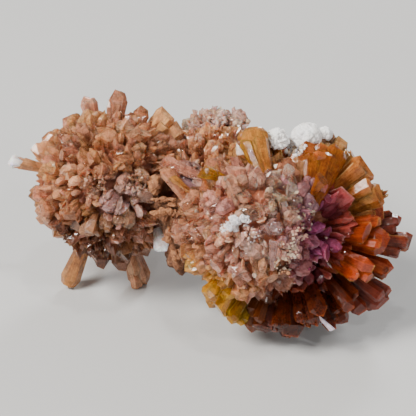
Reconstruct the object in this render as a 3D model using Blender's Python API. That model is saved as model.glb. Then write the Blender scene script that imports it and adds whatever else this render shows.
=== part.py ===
"""Creedite cluster: spiky balls of orange crystals grown into one another round a scrap of
brown rock, with white powdery crust on top. Lengths below are in millimetres, and the
scene is in metres.

The crystals of a ball start at its centre and widen outwards. All of them have grown
together, so they are one solid. The rock and each patch of crust are solids of their own,
with a narrow gap round them.
"""

import math
import random
from collections import namedtuple

import bmesh
import bpy
from mathutils import Matrix, Vector, noise

MM = 0.001
GAP = 0.3
# Flat facets come closer than the curves they stand for, so the spaces are cut a little wider.
CUT_MARGIN = 1.15 * GAP

# The specimen is looked at from the front, from this far above the horizon. Places on it
# are given as seen from there: how far across, up and towards the viewer.
VIEW_ELEVATION = math.radians(30)
ACROSS = Vector((1, 0, 0))
UP = Vector((0, math.sin(VIEW_ELEVATION), math.cos(VIEW_ELEVATION)))
TOWARDS = Vector((0, -math.cos(VIEW_ELEVATION), math.sin(VIEW_ELEVATION)))

# The middle of the right ball. Everything else is placed from it.
RIGHT_CENTRE = Vector((10.06, -3.27, 12.7))


def seen_at(across, up, towards, start=RIGHT_CENTRE):
    """The point that lies so far across, up and towards the viewer from start."""
    return start + across * ACROSS + up * UP + towards * TOWARDS


# Balls
# core is the radius of the grown-together inside, reach the distance from the centre to
# the tips, spacing the distance between neighbouring crystals at their tips.
Ball = namedtuple("Ball", "centre core reach spacing width")
BALLS = {
    "right": Ball(RIGHT_CENTRE, 7.4, 10.8, 4.8, 3.1),
    "rear": Ball(seen_at(-0.6, 0.6, -3.6), 8.0, 11.0, 5.5, 3.6),
    "front": Ball(seen_at(-4.6, 0.6, 4.0), 9.0, 10.2, 4.1, 3.1),
    "left": Ball(seen_at(-23.0, 5.9, -6.0), 8.8, 10.3, 4.2, 3.2),
    "neck": Ball(seen_at(-13.0, 4.0, -5.8), 6.6, 7.5, 3.9, 2.8),
    "saddle": Ball(seen_at(-9.0, 7.6, -7.0), 5.4, 6.6, 3.9, 2.9),
    "back": Ball(seen_at(-9.3, 11.2, -11.0), 4.4, 5.2, 3.2, 2.3),
}

# Crystals
Crystal = namedtuple("Crystal", "ball tip width thickness roll sides shoulder ridge slant")


def placed(ball, across, up, towards, width, thickness, roll=0, sides=6, shoulder=0.9, ridge=0.5, slant=0.2):
    """A crystal whose tip is so far across, up and towards the viewer from its ball's centre.

    roll turns it from broadside to the viewer, in degrees. shoulder is the share of its
    length where the chisel tip starts, ridge the chisel edge's length as a share of the
    width, and slant how far one end of that edge drops, as a share of the tip.
    """
    tip = seen_at(across, up, towards, BALLS[ball].centre)
    return Crystal(ball, tip, width, thickness, math.radians(roll), sides, shoulder, ridge, slant)


FEATURE_CRYSTALS = [
    # Left ball: the spike that points left, the two spires on top, and the blocks between.
    placed("left", -13.0, 3.1, 1.0, 1.7, 1.3, roll=20, shoulder=0.94, ridge=0.6, slant=0.5),
    placed("left", 1.3, 12.2, 0.0, 2.5, 1.8, shoulder=0.88, ridge=0.45),
    placed("left", -2.9, 11.5, 0.5, 2.3, 1.7, shoulder=0.9, ridge=0.45, slant=0.4),
    placed("left", 7.7, 9.4, -1.0, 2.9, 2.2, shoulder=0.93, ridge=0.8, slant=0.3),
    placed("left", 9.3, 7.5, -1.6, 2.7, 2.1, shoulder=0.92, ridge=0.7),
    placed("left", 4.6, 10.0, 0.0, 2.2, 1.6, shoulder=0.9, ridge=0.5),
    placed("left", -5.4, 8.8, 2.0, 2.4, 1.8, shoulder=0.92, ridge=0.6),
    placed("left", -8.4, 6.4, 1.0, 2.4, 1.8, shoulder=0.92, ridge=0.6),
    placed("left", -9.9, 4.9, 2.0, 2.2, 1.6, shoulder=0.9, ridge=0.5),
    placed("left", -9.9, -1.4, 2.5, 2.2, 1.7, shoulder=0.92, ridge=0.6),
    placed("left", -8.8, -3.4, 4.0, 2.8, 2.0, shoulder=0.93, ridge=0.7),
    placed("left", -6.6, -6.2, 4.5, 2.2, 1.6, shoulder=0.9, ridge=0.5),
    # The two long legs in front that the left ball stands on, one out of sight behind,
    # shorter ones between them, and the pale blade beside them.
    placed("left", -5.8, -13.7, -6.2, 2.7, 1.9, shoulder=0.89, ridge=0.35, slant=0.5),
    placed("left", 4.2, -13.3, -7.0, 3.1, 2.0, shoulder=0.9, ridge=0.5, slant=0.3),
    placed("left", -1.3, -9.2, -14.1, 3.0, 2.2, shoulder=0.9, ridge=0.5),
    placed("left", -1.2, -11.0, -1.0, 2.2, 1.5, shoulder=0.88, ridge=0.4),
    placed("left", 1.6, -11.4, -3.0, 2.4, 1.7, shoulder=0.88, ridge=0.4),
    placed("left", 7.0, -8.8, 1.0, 2.0, 0.9, roll=15, sides=4, shoulder=0.88, ridge=0.2, slant=0.8),
    # Right ball: the fan of long blades on its right, from the top round to the bottom.
    placed("right", 5.5, 12.7, 0.2, 2.1, 1.5, shoulder=0.93, ridge=0.6),
    placed("right", 4.9, 10.9, 4.6, 3.2, 2.2, roll=20, shoulder=0.9, ridge=0.6),
    placed("right", 7.1, 11.7, 0.8, 2.1, 1.5, shoulder=0.94, ridge=0.7),
    placed("right", 8.7, 9.7, 0.8, 1.8, 1.4, shoulder=0.94, ridge=0.6),
    placed("right", 10.2, 8.4, 2.8, 4.0, 2.2, roll=15, shoulder=0.94, ridge=0.8, slant=0.5),
    placed("right", 12.0, 4.7, 3.0, 3.3, 2.2, roll=-10, shoulder=0.95, ridge=0.75),
    placed("right", 12.9, 5.0, 0.0, 1.1, 0.9, sides=4),
    placed("right", 12.3, 2.3, 1.6, 2.6, 1.8, shoulder=0.92, ridge=0.6),
    placed("right", 11.8, 1.2, 4.6, 2.2, 1.5, roll=35, shoulder=0.92, ridge=0.5),
    placed("right", 14.6, 1.3, 0.5, 1.9, 1.4, shoulder=0.92, ridge=0.4),
    placed("right", 15.9, -1.6, 0.5, 2.6, 1.8, shoulder=0.95, ridge=0.75, slant=0.5),
    placed("right", 12.8, -1.6, 5.0, 3.8, 2.4, roll=-8, shoulder=0.88, ridge=0.45),
    placed("right", 13.3, -5.4, 1.8, 2.7, 1.8, shoulder=0.92, ridge=0.6, slant=0.5),
    placed("right", 10.8, -5.0, 6.4, 2.3, 1.6, roll=25, shoulder=0.9, ridge=0.5),
    placed("right", 12.4, -9.6, 0.2, 3.7, 2.4, shoulder=0.9, ridge=0.7),
    placed("right", 9.6, -10.6, 2.8, 2.2, 1.6, shoulder=0.93, ridge=0.6),
    placed("right", 8.0, -10.2, 5.0, 2.2, 1.5, shoulder=0.93, ridge=0.6),
    placed("right", 7.3, -12.0, 1.2, 2.3, 1.6, shoulder=0.92, ridge=0.5),
    placed("right", 5.6, -12.8, 3.2, 1.8, 1.0, shoulder=0.92, ridge=0.6),
    placed("right", 3.4, -12.3, 5.6, 2.7, 1.8, shoulder=0.84, ridge=0.3),
    placed("right", 0.3, -13.7, 3.0, 3.6, 2.2, shoulder=0.9, ridge=0.5),
    placed("right", -2.6, -12.9, 3.4, 2.4, 1.7, shoulder=0.9, ridge=0.5),
    placed("right", -5.0, -13.0, 2.5, 2.4, 1.6, shoulder=0.9, ridge=0.4),
    placed("right", -7.6, -11.8, 3.0, 2.2, 1.6, shoulder=0.92, ridge=0.5),
    placed("right", -10.4, -9.6, 3.0, 2.4, 1.8, shoulder=0.92, ridge=0.5),
    placed("right", -8.6, -8.6, 6.5, 2.4, 1.8, shoulder=0.9, ridge=0.5),
    placed("right", -12.1, -4.7, 4.0, 2.2, 1.6, shoulder=0.9, ridge=0.5),
    # The blades that lean out over the hollow, and the flame-shaped one at the top.
    placed("right", -15.9, 8.1, 2.0, 2.2, 1.3, roll=25, shoulder=0.86, ridge=0.2, slant=0.5),
    placed("right", -14.4, 8.9, 0.0, 2.0, 1.2, roll=-20, shoulder=0.88, ridge=0.3),
    placed("right", -12.6, 2.6, 6.0, 2.0, 1.3, roll=10, shoulder=0.9, ridge=0.4),
    placed("right", -4.6, 13.3, 2.7, 3.2, 1.6, shoulder=0.9, ridge=0.5),
    placed("right", -2.9, 12.6, 0.6, 2.4, 1.6, shoulder=0.92, ridge=0.5),
    placed("right", 3.4, 11.0, 4.5, 3.6, 2.4, shoulder=0.93, ridge=0.7),
    placed("right", 1.2, 11.9, -0.4, 3.2, 2.4, roll=30, shoulder=0.92, ridge=0.5),
    placed("right", 3.8, 12.0, -1.4, 2.8, 2.2, roll=-20, shoulder=0.92, ridge=0.5),
    # One on the right shoulder of the ball behind
    placed("back", 3.8, 4.2, 0.4, 2.3, 1.7, shoulder=0.85, ridge=0.5),
]

# Rock in the hollow between the balls: rounded lumps, their half sizes given across, up
# and towards. The first has the hollow in it, with a rib of rock across the hollow.
ROCK_LUMPS = [
    (seen_at(-15.0, 4.4, -1.6), (2.9, 3.9, 4.0)),
    (seen_at(-13.9, 0.4, -2.2), (2.2, 3.2, 3.2)),
    (seen_at(-13.6, -3.3, -2.4), (2.3, 2.5, 2.6)),
]
ROCK_ROUGHNESS = 0.14
HOLLOW = seen_at(-14.7, 4.9, 1.8)
HOLLOW_HALF_SIZE = (1.9, 1.7, 3.0)
RIB_START = seen_at(-17.2, 3.7, 0.9)
RIB_END = seen_at(-12.4, 3.7, 0.5)
RIB_RADIUS = 0.42

# Kept free of filling crystals, each with its radius: the mouth of the hollow, the valley
# between the front of the right ball and the fan, and the foot of the flame-shaped crystal
CLEARINGS = [(HOLLOW, 2.9), (seen_at(5.8, 2.4, 8.6), 2.7), (seen_at(-3.6, 9.4, 7.6), 2.8)]

# White powdery crust: rounded lumps, their half sizes given across, up and towards
CRUST_LUMPS = {
    "white_crust_top": [
        (seen_at(2.4, 12.0, 1.6), (2.1, 1.8, 2.0)),
        (seen_at(4.7, 12.3, 1.4), (1.1, 1.0, 1.1)),
    ],
    "white_crust_ridge": [(seen_at(-1.4, 11.6, 2.6), (1.5, 1.6, 1.4))],
}

# The broken stump that the right ball rests on, cut flat by the floor
FOOT = Vector((10.1, -2.8, 2.4))
FOOT_HALF_SIZE = (4.7, 4.0, 4.2)
FOOT_ROUGHNESS = 0.3

SEED = 11
GOLDEN_ANGLE = math.pi * (3 - math.sqrt(5))


# Scene set-up
def clear_scene():
    for old in list(bpy.data.objects):
        bpy.data.objects.remove(old)


def new_collection(name):
    collection = bpy.data.collections.new(name)
    bpy.context.scene.collection.children.link(collection)
    return collection


def new_material(name, colour, roughness):
    material = bpy.data.materials.new(name)
    material.use_nodes = True
    shader = material.node_tree.nodes["Principled BSDF"]
    shader.inputs["Base Color"].default_value = (*colour, 1)
    shader.inputs["Roughness"].default_value = roughness
    shader.inputs["Metallic"].default_value = 0
    material.diffuse_color = (*colour, 1)
    return material


def new_object(name, bm, collection, material=None, helper=False):
    """A mesh object in metres from a bmesh in millimetres."""
    bmesh.ops.scale(bm, vec=(MM, MM, MM), verts=bm.verts)
    bmesh.ops.recalc_face_normals(bm, faces=bm.faces)
    mesh = bpy.data.meshes.new(name)
    bm.to_mesh(mesh)
    bm.free()
    obj = bpy.data.objects.new(name, mesh)
    collection.objects.link(obj)
    if material:
        mesh.materials.append(material)
    if helper:
        obj.hide_render = True
        obj.display_type = "WIRE"
    return obj


# Crystal shapes
def crystal_frame(crystal, centre):
    """The turn that stands a crystal along its axis, its width across the view."""
    axis = (crystal.tip - centre).normalized()
    side = TOWARDS.cross(axis)
    if side.length < 0.2:
        side = ACROSS.copy()
    side = (side - side.dot(axis) * axis).normalized()
    depth = side.cross(axis)
    turn = Matrix((depth, side, axis)).transposed().to_4x4()
    return Matrix.Translation(centre) @ turn @ Matrix.Rotation(crystal.roll, 4, "Z")


def crystal_mesh(crystal):
    """A prism that widens from the ball's centre to its shoulder, closed by a chisel tip."""
    ball = BALLS[crystal.ball]
    length = (crystal.tip - ball.centre).length
    root = 0.35 * ball.core
    shaft = crystal.shoulder * length - root
    half_width = crystal.width / 2
    half_thickness = crystal.thickness / 2
    bm = bmesh.new()
    bmesh.ops.create_cone(
        bm, cap_ends=True, segments=crystal.sides, radius1=0.5, radius2=1, depth=shaft
    )
    # Four sides are turned so that their flats, and not their corners, face the ends.
    corner = 1.0
    if crystal.sides == 4:
        bmesh.ops.rotate(bm, verts=bm.verts, matrix=Matrix.Rotation(math.pi / 4, 3, "Z"))
        corner = math.sqrt(2)
    bmesh.ops.scale(bm, verts=bm.verts, vec=(half_thickness * corner, half_width * corner, 1))
    bmesh.ops.translate(bm, verts=bm.verts, vec=(0, 0, root + shaft / 2))
    top = max(bm.faces, key=lambda face: face.calc_center_median().z)
    cap = bmesh.ops.extrude_discrete_faces(bm, faces=[top])["faces"][0]
    drop = crystal.slant * (length - root - shaft)
    left = [v for v in cap.verts if v.co.y < 0]
    right = [v for v in cap.verts if v.co.y > 0]
    edge = crystal.ridge * half_width
    bmesh.ops.pointmerge(bm, verts=left, merge_co=(0, -edge, length - drop))
    bmesh.ops.pointmerge(bm, verts=right, merge_co=(0, edge, length))
    bmesh.ops.transform(bm, verts=bm.verts, matrix=crystal_frame(crystal, ball.centre))
    return bm


def clear_of_neighbours(name, tip):
    """True where tip isn't buried in another ball."""
    return all(
        (tip - other.centre).length > 0.5 * (other.core + other.reach)
        for key, other in BALLS.items()
        if key != name
    )


def clear_of_features(name, tip, width):
    """True where no placed crystal of the ball already stands there."""
    ball = BALLS[name]
    direction = (tip - ball.centre).normalized()
    for feature in FEATURE_CRYSTALS:
        if feature.ball != name:
            continue
        other = feature.tip - ball.centre
        apart = direction.angle(other) * ball.reach
        if apart < 0.42 * (width + feature.width):
            return False
    return True


def in_clearing(point):
    return any((point - middle).length < radius for middle, radius in CLEARINGS)


def in_crust(point):
    """True where a crystal's tip would stick up through the crust."""
    for lumps in CRUST_LUMPS.values():
        for middle, half_size in lumps:
            if (point - middle).length < 0.7 * max(half_size):
                return True
    return False


def filling_crystals(name, chance):
    """Crystals spread evenly over the rest of a ball, each a little out of true.

    They are fewer and broader on the far side.
    """
    ball = BALLS[name]
    found = []
    for near, coarser in ((True, 1.0), (False, 1.3)):
        spacing = coarser * ball.spacing
        count = round(4 * math.pi * ball.reach**2 / (0.87 * spacing**2))
        jitter = 0.13 * spacing / ball.reach
        for i in range(count):
            height = 1 - (2 * i + 1) / count
            ring = math.sqrt(1 - height * height)
            turn = GOLDEN_ANGLE * i
            direction = Vector((ring * math.cos(turn), ring * math.sin(turn), height))
            direction += jitter * Vector([chance.gauss(0, 1) for _ in range(3)])
            reach = ball.reach * chance.uniform(0.9, 1.06)
            width = coarser * ball.width * chance.uniform(0.85, 1.15)
            thickness = width * chance.uniform(0.65, 0.9)
            roll = chance.uniform(0, math.pi)
            shoulder = chance.uniform(0.8, 0.91)
            ridge = chance.uniform(0.2, 0.7)
            slant = chance.uniform(0.0, 0.7)
            tip = ball.centre + reach * direction.normalized()
            if near != (direction.dot(TOWARDS) > -0.2):
                continue
            if not clear_of_neighbours(name, tip) or not clear_of_features(name, tip, width):
                continue
            if in_clearing(tip) or in_crust(tip):
                continue
            found.append(Crystal(name, tip, width, thickness, roll, 4, shoulder, ridge, slant))
    return found


# Solids
def ellipsoid_mesh(middle, half_size, subdivisions=2, grow=0.0):
    """A rounded lump, its half sizes given across, up and towards the viewer."""
    bm = bmesh.new()
    bmesh.ops.create_icosphere(bm, subdivisions=subdivisions, radius=1)
    bmesh.ops.scale(bm, verts=bm.verts, vec=[size + grow for size in half_size])
    turn = Matrix((ACROSS, UP, TOWARDS)).transposed().to_4x4()
    bmesh.ops.transform(bm, verts=bm.verts, matrix=Matrix.Translation(middle) @ turn)
    return bm


def rough_mesh(middle, half_size, amount, grow=0.0):
    """A rounded lump whose surface goes in and out by a share of its size."""
    bm = ellipsoid_mesh(Vector(), (1, 1, 1), 2)
    turn = Matrix((ACROSS, UP, TOWARDS)).transposed()
    for vertex in bm.verts:
        direction = vertex.co.normalized()
        bump = 1 + amount * noise.noise(2.6 * direction + Vector((3, 1, 2)))
        local = turn.transposed() @ direction
        size = Vector([half * bump + grow for half in half_size])
        vertex.co = middle + turn @ Vector([a * b for a, b in zip(local, size)])
    return bm


def rod_mesh(start, end, radius):
    """A round rod between two points."""
    bm = bmesh.new()
    axis = end - start
    bmesh.ops.create_cone(
        bm, cap_ends=True, segments=8, radius1=radius, radius2=radius, depth=axis.length
    )
    turn = axis.to_track_quat("Z", "Y").to_matrix().to_4x4()
    bmesh.ops.transform(bm, verts=bm.verts, matrix=Matrix.Translation((start + end) / 2) @ turn)
    return bm


def below_floor_mesh():
    bm = bmesh.new()
    bmesh.ops.create_cube(bm, size=80)
    bmesh.ops.translate(bm, verts=bm.verts, vec=(0, 0, -40))
    return bm


def add_boolean(obj, operation, other=None, collection=None):
    modifier = obj.modifiers.new(operation.title(), "BOOLEAN")
    modifier.operation = operation
    modifier.solver = "EXACT"
    if collection:
        modifier.operand_type = "COLLECTION"
        modifier.collection = collection
    else:
        modifier.object = other


def keep_outside(obj):
    """Fix the object's Booleans and drop all but its largest shell.

    Crystals that meet at their tips close off small hollows below, and these go too.
    """
    depsgraph = bpy.context.evaluated_depsgraph_get()
    mesh = bpy.data.meshes.new_from_object(obj.evaluated_get(depsgraph))
    bm = bmesh.new()
    bm.from_mesh(mesh)
    shells = []
    unseen = set(bm.faces)
    while unseen:
        shell = {unseen.pop()}
        rim = set(shell)
        while rim:
            # A hollow may touch the outside along an edge, and its faces aren't reached across it.
            edges = {edge for face in rim for edge in face.edges if len(edge.link_faces) == 2}
            rim = {face for edge in edges for face in edge.link_faces} & unseen
            unseen -= rim
            shell |= rim
        shells.append(shell)
    shells.sort(key=len)
    inner = [face for shell in shells[:-1] for face in shell]
    bmesh.ops.delete(bm, geom=inner, context="FACES")
    bm.to_mesh(mesh)
    bm.free()
    obj.modifiers.clear()
    obj.data = mesh


# The four pieces
def grow_crystals(parts, material):
    """All crystals, the cores they spring from and the stump below, as one solid."""
    grown = new_collection("grown_crystals")
    chance = random.Random(SEED)
    crystals = list(FEATURE_CRYSTALS)
    for name in BALLS:
        crystals += filling_crystals(name, chance)
    for i, crystal in enumerate(crystals):
        new_object(f"crystal_{i}", crystal_mesh(crystal), grown, helper=True)
    for name, ball in BALLS.items():
        core = ellipsoid_mesh(ball.centre, (ball.core,) * 3, 1)
        if name == "right":
            body = new_object("creedite_crystals", core, parts, material)
        else:
            new_object(f"core_{name}", core, grown, helper=True)
    new_object("foot", rough_mesh(FOOT, FOOT_HALF_SIZE, FOOT_ROUGHNESS), grown, helper=True)
    add_boolean(body, "UNION", collection=grown)
    keep_outside(body)
    return body


def make_room(body):
    """Cut the spaces for the rock and the crust out of the crystals, and all below the floor."""
    spaces = new_collection("cut_from_crystals")
    for i, (middle, half_size) in enumerate(ROCK_LUMPS):
        space = rough_mesh(middle, half_size, ROCK_ROUGHNESS, grow=CUT_MARGIN)
        new_object(f"rock_space_{i}", space, spaces, helper=True)
    for name, lumps in CRUST_LUMPS.items():
        for i, (middle, half_size) in enumerate(lumps):
            space = ellipsoid_mesh(middle, half_size, grow=CUT_MARGIN)
            new_object(f"{name}_space_{i}", space, spaces, helper=True)
    new_object("below_floor", below_floor_mesh(), spaces, helper=True)
    add_boolean(body, "DIFFERENCE", collection=spaces)
    keep_outside(body)


def shape_rock(parts, helpers, material):
    middle, half_size = ROCK_LUMPS[0]
    rock = new_object("matrix_rock", rough_mesh(middle, half_size, ROCK_ROUGHNESS), parts, material)
    for i, (middle, half_size) in enumerate(ROCK_LUMPS[1:]):
        lump = rough_mesh(middle, half_size, ROCK_ROUGHNESS)
        add_boolean(rock, "UNION", new_object(f"rock_lump_{i}", lump, helpers, helper=True))
    hollow = ellipsoid_mesh(HOLLOW, HOLLOW_HALF_SIZE)
    add_boolean(rock, "DIFFERENCE", new_object("hollow", hollow, helpers, helper=True))
    rib = rod_mesh(RIB_START, RIB_END, RIB_RADIUS)
    add_boolean(rock, "UNION", new_object("rib", rib, helpers, helper=True))
    keep_outside(rock)


def shape_crust(name, lumps, parts, helpers, material):
    crust = new_object(name, ellipsoid_mesh(*lumps[0]), parts, material)
    for i, lump in enumerate(lumps[1:]):
        lobe = new_object(f"{name}_lobe_{i}", ellipsoid_mesh(*lump), helpers, helper=True)
        add_boolean(crust, "UNION", lobe)
    keep_outside(crust)


def main():
    clear_scene()
    parts = new_collection("creedite_cluster")
    helpers = new_collection("cutters")
    orange = new_material("orange_creedite", (0.62, 0.27, 0.13), 0.22)
    brown = new_material("brown_rock", (0.16, 0.08, 0.045), 0.8)
    white = new_material("white_crust", (0.75, 0.73, 0.70), 0.75)
    make_room(grow_crystals(parts, orange))
    shape_rock(parts, helpers, brown)
    for name, lumps in CRUST_LUMPS.items():
        shape_crust(name, lumps, parts, helpers, white)


main()
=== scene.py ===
# %% [markdown]
# # A creedite cluster
# Creedite grows as flat-sided orange blades that spread from one point, so a cluster looks
# like a few spiky balls grown into one another. This file dresses the plain solids of such
# a cluster. It builds the blades again with finer tips and many small ones between them,
# roughens the rock in the hollow and the white crust on top, and gives each its finish.
# The frame holds the plain solids and never moves; every piece made here rides on it.

# %% Frame
import math
import random
from collections import namedtuple

import bpy
import numpy as np
from mathutils import Matrix, Vector, noise
from mathutils.bvhtree import BVHTree


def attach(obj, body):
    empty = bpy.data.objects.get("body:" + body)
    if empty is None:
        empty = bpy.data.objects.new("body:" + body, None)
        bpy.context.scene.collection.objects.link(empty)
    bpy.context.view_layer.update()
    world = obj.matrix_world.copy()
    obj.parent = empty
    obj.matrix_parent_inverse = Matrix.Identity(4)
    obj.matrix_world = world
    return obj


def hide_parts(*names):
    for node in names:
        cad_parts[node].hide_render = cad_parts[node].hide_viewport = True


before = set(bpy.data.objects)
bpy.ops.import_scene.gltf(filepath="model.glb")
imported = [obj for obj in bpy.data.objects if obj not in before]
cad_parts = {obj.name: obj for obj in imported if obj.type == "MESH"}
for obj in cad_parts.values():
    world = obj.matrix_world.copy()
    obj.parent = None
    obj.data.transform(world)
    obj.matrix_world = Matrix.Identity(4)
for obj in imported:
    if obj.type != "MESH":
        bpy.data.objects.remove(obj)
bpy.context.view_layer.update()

MM = 0.001

# %% [markdown]
# Everything is placed as seen in the photograph: so far across, up and towards the viewer,
# who looks down at thirty degrees. Three unit vectors turn such a place into a point in
# space. They could be worked out from the camera, but three plain lines are easier to read.
# Lengths stay in millimetres until the meshes are made.

# %% Places as seen from the front
VIEW_ELEVATION = math.radians(30)
ACROSS = Vector((1, 0, 0))
UP = Vector((0, math.sin(VIEW_ELEVATION), math.cos(VIEW_ELEVATION)))
TOWARDS = Vector((0, -math.cos(VIEW_ELEVATION), math.sin(VIEW_ELEVATION)))
FROM_VIEW = Matrix((ACROSS, UP, TOWARDS)).transposed()
RIGHT_CENTRE = Vector((10.06, -3.27, 12.7))


def seen_at(across, up, towards, start=RIGHT_CENTRE):
    return start + across * ACROSS + up * UP + towards * TOWARDS


def nudge(chance, size=1):
    return Vector([chance.gauss(0, size) for _ in range(3)])


print("towards the viewer is", [round(v, 2) for v in TOWARDS])

# %% [markdown]
# ## The balls
# Each ball has a centre, a grown-together core, and a reach out to its tips. Two big balls
# and a small one behind are what the eye counts. The right one is three balls in one, since
# it bulges in front and behind and its core lies deep where the fan of long blades springs
# from it. Two more, half buried, make the neck between the big ones and the saddle.

# %% Balls
Ball = namedtuple("Ball", "centre core reach spacing width")
BALLS = {
    "right": Ball(RIGHT_CENTRE, 7.4, 10.8, 4.8, 3.1),
    "rear": Ball(seen_at(-0.6, 0.6, -3.6), 8.0, 11.0, 5.5, 3.6),
    "front": Ball(seen_at(-4.6, 0.6, 4.0), 9.0, 10.2, 4.1, 3.1),
    "left": Ball(seen_at(-23.0, 5.9, -6.0), 8.8, 10.3, 4.2, 3.2),
    "neck": Ball(seen_at(-13.0, 4.0, -5.8), 6.6, 7.5, 3.9, 2.8),
    "saddle": Ball(seen_at(-9.0, 7.6, -7.0), 5.4, 6.6, 3.9, 2.9),
    "back": Ball(seen_at(-9.3, 11.2, -11.0), 4.4, 5.2, 3.2, 2.3),
}
print(len(BALLS), "balls")

# %% [markdown]
# ## The blades that the eye picks out
# The long blades round the outline, the spike on the left, the spires on top and the legs
# underneath are listed one line each. Scattering could never put them where they
# are, and they carry most of the likeness. The rest of each ball is filled by rule.

# %% Placed crystals
Crystal = namedtuple("Crystal", "ball tip width thickness roll sides shoulder ridge slant")


def placed(ball, across, up, towards, width, thickness, roll=0, sides=6, shoulder=0.9, ridge=0.5, slant=0.2):
    tip = seen_at(across, up, towards, BALLS[ball].centre)
    return Crystal(ball, tip, width, thickness, math.radians(roll), sides, shoulder, ridge, slant)


FEATURE_CRYSTALS = [
    # Left ball: the spike that points left, the two spires on top, and the blocks between.
    placed("left", -13.0, 3.1, 1.0, 1.7, 1.3, roll=20, shoulder=0.94, ridge=0.6, slant=0.5),
    placed("left", 1.3, 12.2, 0.0, 2.5, 1.8, shoulder=0.88, ridge=0.45),
    placed("left", -2.9, 11.5, 0.5, 2.3, 1.7, ridge=0.45, slant=0.4),
    placed("left", 7.7, 9.4, -1.0, 2.9, 2.2, shoulder=0.93, ridge=0.8, slant=0.3),
    placed("left", 9.3, 7.5, -1.6, 2.7, 2.1, shoulder=0.92, ridge=0.7),
    placed("left", 4.6, 10.0, 0.0, 2.2, 1.6),
    placed("left", -5.4, 8.8, 2.0, 2.4, 1.8, shoulder=0.92, ridge=0.6),
    placed("left", -8.4, 6.4, 1.0, 2.4, 1.8, shoulder=0.92, ridge=0.6),
    placed("left", -9.9, 4.9, 2.0, 2.2, 1.6),
    placed("left", -9.9, -1.4, 2.5, 2.2, 1.7, shoulder=0.92, ridge=0.6),
    placed("left", -8.8, -3.4, 4.0, 2.8, 2.0, shoulder=0.93, ridge=0.7),
    placed("left", -6.6, -6.2, 4.5, 2.2, 1.6),
    # The two long legs in front that the left ball stands on, one out of sight behind,
    # shorter ones between them, and the pale blade beside them.
    placed("left", -5.8, -13.7, -6.2, 2.7, 1.9, shoulder=0.89, ridge=0.35, slant=0.5),
    placed("left", 4.2, -13.3, -7.0, 3.1, 2.0, slant=0.3),
    placed("left", -1.3, -9.2, -14.1, 3.0, 2.2),
    placed("left", -1.2, -11.0, -1.0, 2.2, 1.5, shoulder=0.88, ridge=0.4),
    placed("left", 1.6, -11.4, -3.0, 2.4, 1.7, shoulder=0.88, ridge=0.4),
    placed("left", 7.0, -8.8, 1.0, 2.0, 0.9, roll=15, sides=4, shoulder=0.88, ridge=0.2, slant=0.8),
    # Right ball: the fan of long blades on its right, from the top round to the bottom.
    placed("right", 5.5, 12.7, 0.2, 2.1, 1.5, shoulder=0.93, ridge=0.6),
    placed("right", 4.9, 10.9, 4.6, 3.2, 2.2, roll=20, ridge=0.6),
    placed("right", 7.1, 11.7, 0.8, 2.1, 1.5, shoulder=0.94, ridge=0.7),
    placed("right", 8.7, 9.7, 0.8, 1.8, 1.4, shoulder=0.94, ridge=0.6),
    placed("right", 10.2, 8.4, 2.8, 4.0, 2.2, roll=15, shoulder=0.94, ridge=0.8, slant=0.5),
    placed("right", 12.0, 4.7, 3.0, 3.3, 2.2, roll=-10, shoulder=0.95, ridge=0.75),
    placed("right", 12.9, 5.0, 0.0, 1.1, 0.9, sides=4),
    placed("right", 12.3, 2.3, 1.6, 2.6, 1.8, shoulder=0.92, ridge=0.6),
    placed("right", 11.8, 1.2, 4.6, 2.2, 1.5, roll=35, shoulder=0.92),
    placed("right", 14.6, 1.3, 0.5, 1.9, 1.4, shoulder=0.92, ridge=0.4),
    placed("right", 15.9, -1.6, 0.5, 2.6, 1.8, shoulder=0.95, ridge=0.75, slant=0.5),
    placed("right", 12.8, -1.6, 5.0, 3.8, 2.4, roll=-8, shoulder=0.88, ridge=0.45),
    placed("right", 13.3, -5.4, 1.8, 2.7, 1.8, shoulder=0.92, ridge=0.6, slant=0.5),
    placed("right", 10.8, -5.0, 6.4, 2.3, 1.6, roll=25),
    placed("right", 12.4, -9.6, 0.2, 3.7, 2.4, ridge=0.7),
    placed("right", 9.6, -10.6, 2.8, 2.2, 1.6, shoulder=0.93, ridge=0.6),
    placed("right", 8.0, -10.2, 5.0, 2.2, 1.5, roll=25, shoulder=0.93, ridge=0.6),
    placed("right", 7.3, -12.0, 1.2, 2.3, 1.6, shoulder=0.92),
    placed("right", 5.6, -12.8, 3.2, 1.8, 1.0, shoulder=0.92, ridge=0.6),
    placed("right", 3.4, -12.3, 5.6, 2.7, 1.8, shoulder=0.84, ridge=0.3),
    placed("right", 0.3, -13.7, 3.0, 3.6, 2.2),
    placed("right", -2.6, -12.9, 3.4, 2.4, 1.7),
    placed("right", -5.0, -13.0, 2.5, 2.4, 1.6, ridge=0.4),
    placed("right", -7.6, -11.8, 3.0, 2.2, 1.6, shoulder=0.92),
    placed("right", -10.4, -9.6, 3.0, 2.4, 1.8, shoulder=0.92),
    placed("right", -8.6, -8.6, 6.5, 2.4, 1.8),
    placed("right", -12.1, -4.7, 4.0, 2.2, 1.6),
    # The blades that lean out over the hollow, and the flame-shaped one at the top.
    placed("right", -15.9, 8.1, 2.0, 2.2, 1.3, roll=25, shoulder=0.86, ridge=0.2, slant=0.5),
    placed("right", -14.4, 8.9, 0.0, 2.0, 1.2, roll=-20, shoulder=0.88, ridge=0.3),
    placed("right", -12.6, 2.6, 6.0, 2.0, 1.3, roll=10, ridge=0.4),
    placed("right", -4.6, 13.3, 2.7, 3.2, 1.6),
    placed("right", -2.9, 12.6, 0.6, 2.4, 1.6, shoulder=0.92),
    placed("right", 3.4, 11.0, 4.5, 3.6, 2.4, shoulder=0.93, ridge=0.7),
    placed("right", 1.2, 11.9, -0.4, 3.2, 2.4, roll=30, shoulder=0.92),
    placed("right", 3.8, 12.0, -1.4, 2.8, 2.2, roll=-20, shoulder=0.92),
    # One on the right shoulder of the ball behind
    placed("back", 3.8, 4.2, 0.4, 2.3, 1.7, shoulder=0.85),
]
print(len(FEATURE_CRYSTALS), "placed crystals")

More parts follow.
